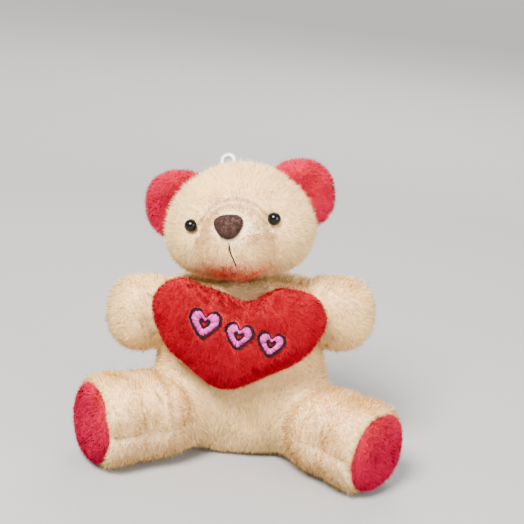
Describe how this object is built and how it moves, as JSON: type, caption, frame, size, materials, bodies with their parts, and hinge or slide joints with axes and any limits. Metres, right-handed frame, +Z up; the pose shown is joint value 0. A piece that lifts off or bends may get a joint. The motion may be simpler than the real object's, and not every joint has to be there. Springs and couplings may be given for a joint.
{
  "type": "plush bear keychain",
  "caption": "Small seated plush bear holding a stitched heart cushion, with a moulded hanging eye at the crown for a keychain.",
  "frame": {"origin": "middle of the flat seat face, on the surface the bear sits on", "axes": "+Z up, the bear faces -Y, +X to the bear's own left"},
  "size_m": [0.1132, 0.0618, 0.1049],
  "materials": {
    "cream_plush": "short cream pile",
    "red_plush": "short red pile",
    "filling": "loose polyester fibre",
    "flocked_nose": "brown flock",
    "eye_bead": "glossy black",
    "washer": "plain",
    "loop_plastic": "glossy white",
    "black_thread": "embroidery thread",
    "pink_thread": "satin embroidery thread",
    "cream_thread": "sewing thread",
    "red_thread": "sewing thread"
  },
  "bodies": {
    "torso": {"torso_front_panel": "cream_plush", "torso_left_back_panel": "cream_plush", "torso_right_back_panel": "cream_plush", "torso_filling": "filling", "back_closing_stitches": "cream_thread", "heart_front_panel": "red_plush", "heart_back_panel": "red_plush", "heart_filling": "filling", "heart_satin_stitching": "pink_thread", "heart_outline_stitching": "black_thread", "heart_tack_threads": "red_thread"},
    "head": {"head_face_panel": "cream_plush", "head_back_panel": "cream_plush", "head_filling": "filling", "muzzle_panel": "cream_plush", "muzzle_filling": "filling", "nose": "flocked_nose", "nose_washer": "washer", "left_eye": "eye_bead", "left_eye_washer": "washer", "right_eye": "eye_bead", "right_eye_washer": "washer", "mouth_thread": "black_thread", "left_ear_front_panel": "red_plush", "left_ear_back_panel": "cream_plush", "right_ear_front_panel": "red_plush", "right_ear_back_panel": "cream_plush"},
    "hang_loop": {"hang_loop": "loop_plastic"},
    "left_arm": {"left_arm_front_panel": "cream_plush", "left_arm_back_panel": "cream_plush", "left_arm_filling": "filling"},
    "left_leg": {"left_leg_top_panel": "cream_plush", "left_leg_under_panel": "cream_plush", "left_leg_filling": "filling", "left_sole_pad": "red_plush"},
    "right_arm": {"right_arm_front_panel": "cream_plush", "right_arm_back_panel": "cream_plush", "right_arm_filling": "filling"},
    "right_leg": {"right_leg_top_panel": "cream_plush", "right_leg_under_panel": "cream_plush", "right_leg_filling": "filling", "right_sole_pad": "red_plush"}
  },
  "joints": [
    {"name": "head_nod", "type": "hinge", "parent": "torso", "child": "head", "pos_m": [-0.006, -0.001, 0.06231], "axis": [0.9954, 0, 0.0958], "range_deg": [-15, 8], "stiffness_Nm_per_rad": 0.08},
    {"name": "left_arm_raise", "type": "hinge", "parent": "torso", "child": "left_arm", "pos_m": [0.0191, -0.002, 0.05207], "axis": [0, -1, 0], "range_deg": [-3, 25], "stiffness_Nm_per_rad": 0.03},
    {"name": "right_arm_raise", "type": "hinge", "parent": "torso", "child": "right_arm", "pos_m": [-0.02868, -0.002, 0.04747], "axis": [0, 1, 0], "range_deg": [-3, 25], "stiffness_Nm_per_rad": 0.03},
    {"name": "left_leg_raise", "type": "hinge", "parent": "torso", "child": "left_leg", "pos_m": [0.026, -0.0175, 0.015], "axis": [-0.6293, -0.7771, 0], "range_deg": [-10, 30], "stiffness_Nm_per_rad": 0.06},
    {"name": "right_leg_raise", "type": "hinge", "parent": "torso", "child": "right_leg", "pos_m": [-0.028, -0.018, 0.015], "axis": [-0.5, 0.866, 0], "range_deg": [-10, 30], "stiffness_Nm_per_rad": 0.06},
    {"name": "hang_loop_turn", "type": "hinge", "parent": "head", "child": "hang_loop", "pos_m": [-0.01344, 0.00685, 0.0971], "axis": [-0.1355, 0.4979, 0.8566], "range_deg": [-90, 90]}
  ]
}
